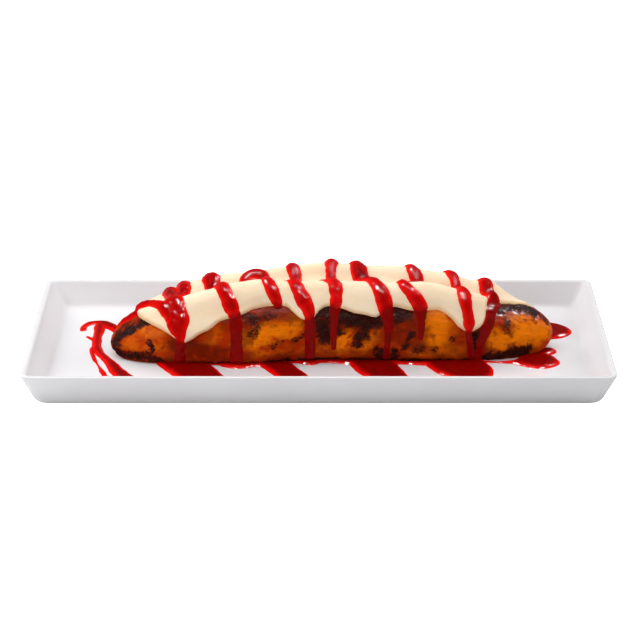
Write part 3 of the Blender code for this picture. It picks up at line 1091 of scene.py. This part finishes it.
# %% Lay the blanket
BLANKET_STEP = 0.50 * MM
DEGREE_STEP = 1.0
x_values = np.arange(-111.0 * MM, 111.0 * MM, BLANKET_STEP)
degree_values = np.arange(-24.0, 212.0, DEGREE_STEP)
blanket_x, blanket_degrees = np.meshgrid(x_values, degree_values)
blanket_u = (blanket_x - middle_x) / half_length
blanket_guide = skin(blanket_u, np.radians(blanket_degrees), *GUIDE_SPLIT)
blanket_out = outward(blanket_u, np.radians(blanket_degrees), *GUIDE_SPLIT)
blanket_height, bare = stand_heights(blanket_guide, blanket_out, [plantain, cream])
blanket = blanket_guide + blanket_out * blanket_height[..., None]
spread_bare = blur(bare, 3)
print("blanket of", blanket_x.shape, "points,", round(float(bare.mean() * 100)), "% on bare skin")


def from_blanket(path, grid):
    """Values of a grid on the blanket for rows of (x in mm, angle in degrees, ...)."""
    column = np.clip((path[:, 0] * MM - x_values[0]) / BLANKET_STEP, 0, len(x_values) - 1.001)
    row = np.clip((path[:, 1] - degree_values[0]) / DEGREE_STEP, 0, len(degree_values) - 1.001)
    left, low = column.astype(int), row.astype(int)
    more = (1,) * (grid.ndim - 2)
    a, b = (column - left).reshape(-1, *more), (row - low).reshape(-1, *more)
    return ((1 - b) * ((1 - a) * grid[low, left] + a * grid[low, left + 1])
            + b * ((1 - a) * grid[low + 1, left] + a * grid[low + 1, left + 1]))

# %% [markdown]
# ## The sauce: its strands
#
# The cook drew the spoon back and forth across the fruit, so each strand climbs the rear, dips
# through the split, crosses the front ridge and runs down towards the diner.  Every strand has its own
# width along its run, and on bare oily skin the sauce spreads to a thin film.

# %% Sauce strands
# Places along each strand: x in mm, angle in degrees, half width in mm.
STRANDS = [
    [(-105, 78, 0.9), (-102, 86, 1.5), (-99, 89, 2.0), (-95, 90, 2.2), (-90.5, 89, 2.3), (-87, 94, 2.9),
     (-83, 103, 3.3), (-78.8, 115, 3.9), (-74.7, 132, 4.2), (-72.5, 148, 4.0), (-71.2, 161, 2.8),
     (-71.2, 175, 2.7), (-71.5, 196, 2.9)],
    [(-82, 6, 1.8), (-80, 30, 2.6), (-78, 52, 3.6), (-77, 68, 4.2), (-76, 84, 4.2), (-74.3, 103, 4.2),
     (-71.5, 122, 4.2), (-70, 137, 3.9), (-70, 150, 3.4), (-70.5, 162, 2.6)],
    [(-76.5, 104, 3.0), (-74.5, 120, 4.0), (-73, 134, 4.2), (-72, 146, 3.6)],
    [(-70.5, 20, 2.4), (-70, 42, 3.2), (-69.8, 60, 4.0), (-69.6, 74, 4.0), (-70.5, 88, 3.4),
     (-72.5, 100, 3.2), (-73, 112, 2.6)],
    [(-61, -12, 2.2), (-60, 8, 2.6), (-57.5, 32, 3.6), (-55.8, 56, 4.6), (-55.2, 70, 4.7), (-54.5, 82, 4.4),
     (-52.5, 94, 4.2), (-49.5, 108, 4.0), (-46.6, 122, 4.1), (-44.6, 133, 3.9), (-43, 143, 3.4),
     (-42.4, 156, 3.2), (-42.2, 170, 3.3), (-42.2, 182, 3.4), (-42.2, 198, 3.5)],
    [(-39.0, 79, 2.2), (-37, 74, 3.4), (-34.5, 71, 3.9), (-31.5, 71, 3.9), (-29, 76, 3.5), (-27.5, 86, 3.4),
     (-26.8, 98, 3.4), (-25, 114, 3.5), (-23, 124, 3.4), (-21.6, 132, 3.0), (-20.8, 136, 2.2)],
    [(-37, 82, 2.8), (-32, 84, 3.2), (-28.5, 84, 2.8)],
    [(-19, -16, 1.8), (-18, 14, 2.3), (-15.5, 42, 3.0), (-14, 58, 3.3), (-13.2, 70, 3.3), (-12, 80, 3.1),
     (-11.5, 92, 3.2), (-12.5, 108, 3.3), (-11, 118, 3.7), (-9.2, 127, 4.0), (-7.4, 135, 3.9),
     (-5.8, 142, 3.6), (-4.8, 150, 3.1), (-4.4, 160, 3.0), (-4.4, 172, 3.0), (-4.4, 184, 2.9),
     (-4.6, 196, 2.4)],
    [(-18.5, 100, 1.0), (-15, 106, 1.8), (-12.5, 112, 2.4)],
    [(3, 16, 1.8), (5, 38, 3.0), (6.8, 58, 4.0), (6.6, 68, 3.2), (6.3, 76, 2.7), (6.4, 88, 2.8),
     (7.2, 106, 3.6), (8.6, 118, 3.6), (9, 128, 3.2), (8.8, 138, 3.0), (8.3, 146, 2.6), (8, 158, 2.2),
     (7.8, 170, 1.9), (7.8, 184, 1.5)],
    [(0.5, 104, 0.8), (3, 108, 1.4), (6, 112, 2.4)],
    [(10, -14, 2.4), (13, 14, 2.8), (17, 42, 3.4), (19.2, 58, 3.8), (20.3, 68, 3.9), (21.3, 78, 4.2),
     (22.5, 88, 4.4), (25.5, 98, 4.0), (29, 112, 4.0), (31.5, 122, 4.3), (33, 131, 4.4), (34, 139, 4.1),
     (34.8, 148, 3.5), (35.6, 160, 2.7), (36, 170, 2.3), (35.3, 182, 2.0), (34.8, 198, 2.0)],
    [(43, 22, 2.2), (45.5, 42, 3.2), (47.6, 56, 4.2), (48.4, 66, 3.9), (50, 74, 3.7), (51, 81, 3.4),
     (48.5, 89, 3.0), (44.5, 98, 2.8), (42.5, 107, 3.0), (43.8, 116, 3.5), (46.6, 123, 3.8),
     (49.6, 130, 3.7), (51.8, 137, 3.4), (52.5, 145, 2.7), (52.7, 156, 2.0), (52.7, 168, 1.9),
     (52.4, 176, 1.5)],
    [(61, -8, 2.0), (63, 20, 2.5), (65.8, 42, 3.4), (67.8, 58, 4.0), (69.4, 68, 3.4), (71, 76, 3.1),
     (71.6, 85, 3.1), (72.6, 96, 3.4), (73.6, 112, 3.6), (74.2, 122, 3.5), (75.2, 131, 3.3),
     (76, 140, 3.1), (76.6, 150, 2.8), (76.8, 158, 2.1), (77.2, 168, 1.9), (78, 180, 1.8),
     (79, 192, 1.8), (79.6, 200, 1.8)],
    [(79, 10, 2.2), (81.5, 30, 2.8), (84, 48, 3.5), (85.4, 60, 3.8), (86.4, 70, 3.8), (87.6, 82, 3.9),
     (89, 94, 4.3), (90.2, 104, 4.6), (89.8, 116, 3.8), (88.8, 127, 3.3), (88, 138, 3.0), (87, 150, 3.1),
     (85.6, 162, 3.0), (84.2, 173, 2.7), (83, 184, 2.3), (82.2, 198, 2.2)],
]
BEAD_SHARE = 0.52                    # height of a strand's middle on cream, as a part of its half width
FILM_SHARE = 0.34                    # the part of that height that is left on bare skin
strand_samples = []
for number, places in enumerate(STRANDS):
    path = marks_along(places, 0.45)
    place = from_blanket(path, blanket)
    swell = 1.0 + 0.11 * lumps(place, 7 * MM, 31 + number) + 0.08 * lumps(place, 2.6 * MM, 51 + number)
    strand_samples.append((place, np.maximum(path[:, 2], 0.6) * swell * MM))
print(len(STRANDS), "strands,", sum(len(place) for place, _ in strand_samples), "samples")

# %% [markdown]
# ## The sauce: from strands to a surface
#
# Each sample of a strand raises the blanket near it to a round bead, and a soft maximum runs beads
# together where they touch.  On bare skin the bead is pressed down to a film.  The surface then
# carries its own depth, which the finish turns into colour.

# %% Build the drizzle
NO_SAUCE = -5.0 * MM                 # the height that stands for no sauce at all
STRAND_REACH = 8.0 * MM              # a bead isn't worked out further than this from its strand
BEAD_POWER = 0.9                     # 0.5 would make the bead's section half an ellipse
BEAD_JOIN = 0.25 * MM                # beads run together when they are about this close in height
SAUCE_DIP = 0.75 * MM                # past its edge, its surface goes on until it is this deep
SAUCE_BASE = 0.25 * MM               # how much deeper its underside is
SPLIT_FILL = 0.9                     # how much thicker the sauce lies where it gathers in the split
SPLIT_TURN = (88.0, 13.0)            # the middle and the reach of the split, in degrees
THICK_END = (-90.0 * MM, 112.0)      # left of this x and behind this angle it stays thick on skin


def soft_max(first, second, softness):
    """The larger of two values, rounded off where they are nearly equal."""
    return 0.5 * (first + second + np.sqrt((first - second) ** 2 + softness ** 2))


def cells_of(inside):
    """The cells of a grid whose four corners are all inside."""
    return inside[:-1, :-1] & inside[1:, :-1] & inside[:-1, 1:] & inside[1:, 1:]


def strand_bead():
    """Height of the sauce over the blanket, as if all of it lay on cream."""
    bead = np.full(blanket_x.shape, NO_SAUCE)
    for places, widths in strand_samples:
        low, high = places.min(axis=0) - STRAND_REACH, places.max(axis=0) + STRAND_REACH
        close = ((blanket > low) & (blanket < high)).all(axis=-1)
        points = blanket[close]
        best = np.full(len(points), NO_SAUCE)
        for place, width in zip(places, widths):
            squared = ((points - place) ** 2).sum(axis=1)
            rounded = signed_power(1.0 - squared / width ** 2, BEAD_POWER)
            np.maximum(best, BEAD_SHARE * width * rounded, out=best)
        old = bead[close]
        higher = np.maximum(old, best)
        bead[close] = np.where(higher > -2 * MM, soft_max(old, best, BEAD_JOIN), higher)
    return bead


def film_share():
    """1 where the sauce is a film on bare skin, and 0 on cream and at the thick left end."""
    x, degrees = THICK_END
    thick = smooth_step((x - blanket_x) / (5.0 * MM)) * smooth_step((degrees - blanket_degrees) / 12.0)
    return spread_bare * (1.0 - thick)


def build_drizzle():
    bead = strand_bead() + 0.12 * MM * lumps(blanket, 2.4 * MM, 44)
    gathered = 1.0 + SPLIT_FILL * bell(blanket_degrees, *SPLIT_TURN)
    film = film_share()
    bead = np.where(bead > 0, bead * gathered * (1.0 - (1.0 - FILM_SHARE) * film), bead)
    level = blur(blanket_height, 3)
    carried = blanket_height + (level - blanket_height) * smooth_step(bead / (1.2 * MM))
    height = carried + bead
    top = blanket_guide + blanket_out * height[..., None]
    bottom_height = np.minimum(height, blanket_height) - SAUCE_BASE
    bottom = blanket_guide + blanket_out * bottom_height[..., None]
    values = {"depth": np.maximum(bead, 0.0) / MM, "bare": film}
    return close_sheets(top, bottom, cells_of(bead > -SAUCE_DIP), values, "sauce_drizzle")


drizzle = build_drizzle()
print_size(drizzle)

# %% [markdown]
# ## The sauce: its finish
#
# A clear red fruit sauce is bright where it is thin over cream, deeper where it is thick, and nearly
# maroon over dark skin, which shows through in brown streaks.  Real clear volume would take long to
# render, so the depth stored on the points picks an opaque colour instead.  The sauce is wet, so it
# has a smooth coat, and the fruit pulp's lumps break what the coat mirrors into small glints.  A coat
# has a normal of its own, so the lumps go there too.  Only the sauce has them, so they aren't mottle.

# %% Red sauce
def make_sauce():
    finish = Finish("red_sauce", Roughness=0.25, Specular_IOR_Level=0.0, Coat_Weight=0.4,
                    Coat_Roughness=0.12, Coat_IOR=1.22)
    pulp = finish.limits(finish.own_noise(330.0, 0.0), 0.2, 0.8)
    cloud = finish.limits(finish.own_noise(130.0, 1.0), 0.2, 0.8)
    streaks = finish.group(MOTTLE, Blotches=330.0, Detail=3.0, Stretch=(1.0, 0.4, 0.4), Low=0.42, High=0.72)
    depth = finish.math("ADD", finish.attribute("depth"), finish.centred(cloud, 0.6))
    thin = finish.mix(finish.limits(depth, 0.1, 0.8), (0.92, 0.026, 0.010), (0.80, 0.003, 0.002))
    body = finish.mix(finish.limits(depth, 0.9, 2.4), thin, (0.42, 0.0008, 0.0008))
    body = finish.mix(finish.limits(depth, 2.4, 4.2), body, (0.19, 0.0009, 0.0007))
    film = finish.attribute("bare")
    body = finish.mix(film, body, (0.26, 0.0010, 0.0014))
    seen_through = finish.math("MULTIPLY", film, finish.math("MULTIPLY", streaks, 0.65))
    body = finish.mix(seen_through, body, (0.120, 0.0075, 0.0015))
    finish.into("Base Color", finish.mix(finish.math("MULTIPLY", pulp, 0.22), body, (0.34, 0.001, 0.001)))
    lumpy = finish.bump(pulp, 0.16 * MM, finish.bump(cloud, 0.20 * MM))
    finish.into("Normal", lumpy)
    finish.into("Coat Normal", lumpy)
    return finish.material


SAUCE = make_sauce()
place_piece(drizzle, SAUCE, wet=True)

# %% [markdown]
# ## The pools on the dish
#
# Sauce that missed the fruit, or ran off it, lies on the dish in slanting streaks with round edges.
# The pools are made like the drizzle: a flat grid over the dish's floor, a height from strokes with
# their own widths, and edges that dip under the glaze.

# %% Pool strokes
# Places along each stroke on the dish: x, y and half width, all in mm.
POOLS = [
    [(-125.9, 20.5, 1.8), (-126, 24.5, 1.9), (-124.2, 27.6, 2.0), (-121.5, 29.2, 2.0), (-118, 29.5, 2.7),
     (-115, 28, 3.6), (-111, 24.5, 3.7), (-107.5, 20, 3.1), (-103.5, 14.5, 2.6)],
    [(-117.2, 25, 2.9), (-117.2, 20, 3.0), (-117.2, 14, 2.7), (-117.0, 8, 2.5), (-116.6, 0, 2.5),
     (-114.8, -7.5, 2.7), (-111.2, -14.6, 2.6), (-107.4, -22, 3.2), (-103.4, -30.5, 4.0),
     (-99.2, -38.5, 5.0), (-96.8, -43, 5.3)],
    [(-122.6, 11.5, 0.5), (-119.5, 8, 1.1), (-117.5, 4, 1.2), (-118.3, -3, 1.3), (-118, -10, 1.2),
     (-115.8, -18, 1.1), (-112.8, -26.5, 1.2), (-109.3, -36, 1.5), (-106, -42, 1.7)],
    [(-109, -40.5, 1.4), (-101, -42, 1.8)],
    [(-75, -18.5, 9.4), (-67.5, -29, 10.0), (-60.5, -39.5, 9.8)],
    [(-68, -17, 3.2), (-60, -28, 5.6), (-53.5, -39.5, 6.0)],
    [(-60, -21, 2.0), (-52, -21.5, 2.2), (-46, -23.5, 3.5), (-41, -24.5, 4.0), (-35, -23.2, 3.1),
     (-30, -22, 2.8)],
    [(-26, -18, 7.0), (-19.5, -27.5, 7.8), (-14.3, -35.5, 7.8), (-11.5, -42, 8.0)],
    [(-16, -19.5, 2.0), (-11, -19.5, 2.1), (-5, -21, 2.8), (1, -19.3, 2.0), (10, -19.5, 2.2),
     (18, -20.5, 2.8)],
    [(24, -15, 10.3), (28, -24, 11.3), (32.5, -32, 10.8), (36.5, -40, 9.8)],
    [(36, -19.5, 2.2), (46, -21.2, 2.2), (55, -21.8, 2.6)],
    [(61, -19, 8.0), (69, -28, 9.6), (77, -36, 9.2)],
    [(76, -19, 9.0), (80.5, -30, 9.0), (79.5, -38, 8.4)],
    [(86.5, -19.6, 1.0), (94, -20.2, 1.3), (101, -20.2, 2.6), (107, -20.1, 5.8), (113.3, -18.8, 9.6),
     (118, -19.4, 6.8), (122, -20.6, 2.6)],
    [(113, -10.5, 6.0), (119.5, -7, 4.4)],
    [(114, 18.5, 9.0), (121, 18.8, 11.0), (125, 18.6, 9.6), (128.5, 17.2, 6.2), (131.2, 16, 2.6)],
    [(-66, 27, 3.0), (-57, 33, 5.6), (-48, 38, 4.2)],
    [(6, 28, 4.0), (14, 34, 6.2), (24, 39, 4.4)],
    [(56, 26, 2.6), (63, 32, 4.6), (73, 36, 3.2)],
]
print(len(POOLS), "strokes of sauce on the dish")

# %% [markdown]
# ## The pools: strokes into a surface
#
# For each point of the grid the strokes say how far inside the sauce it lies.  From that comes the
# height: a round edge, then an almost level top, since sauce settles.  The depth that the colour
# needs grows over a longer way, so the pools are bright at their rims and dark in their middles.

# %% Build the pools
POOL_GRID = ((-134.0, 138.0), (-50.0, 48.0))   # from and to, along x and y, in mm
POOL_STEP = 0.6                      # in mm
POOL_DEPTH = 1.5 * MM
POOL_ROUND = 3.2 * MM                # how far in from its edge a pool reaches its full depth
POOL_DARKEN = 4.2 * MM               # and how far in it reaches its darkest red
POOL_DIP = 0.8 * MM                  # past its edge, its surface goes on until it is this deep
POOL_JOIN = 0.2 * MM                 # pools run together when they are about this close in height


def pool_inside(points):
    """How far inside the nearest pool each point lies, and below zero outside."""
    inside = np.full(points.shape[:-1], -50.0 * MM)
    for places in POOLS:
        for sample in smooth_curve(places, 0.7) * MM:
            here = sample[2] - np.hypot(points[..., 0] - sample[0], points[..., 1] - sample[1])
            joined = soft_max(inside, here, POOL_JOIN) - POOL_JOIN / 2
            inside = np.where(here > inside - 3.0 * MM, np.maximum(joined, np.maximum(inside, here)), inside)
    return inside


def build_pools():
    x, y = np.meshgrid(*[np.arange(low, high, POOL_STEP) * MM for low, high in POOL_GRID])
    floor = np.stack([x, y, np.full(x.shape, WELL)], axis=-1)
    inside = pool_inside(floor) + MM * (0.45 * lumps(floor, 8 * MM, 61) + 0.15 * lumps(floor, 3 * MM, 62))
    rounded = 1.0 - (1.0 - np.clip(inside / POOL_ROUND, 0.0, 1.0)) ** 2
    height = np.where(inside > 0, POOL_DEPTH * rounded, inside)
    height += 0.12 * MM * lumps(floor, 14 * MM, 63) * smooth_step(inside / POOL_ROUND)
    top = floor + [0, 0, 1] * height[..., None]
    bottom = floor + [0, 0, 1] * (np.minimum(height, 0.0) - SAUCE_BASE)[..., None]
    values = {"depth": 0.5 + 4.1 * smooth_step(inside / POOL_DARKEN), "bare": 0.0 * x}
    return close_sheets(top, bottom, cells_of(inside > -POOL_DIP), values, "sauce_pools")


pools = build_pools()
print_size(pools)
place_piece(pools, SAUCE, wet=True)

# %% [markdown]
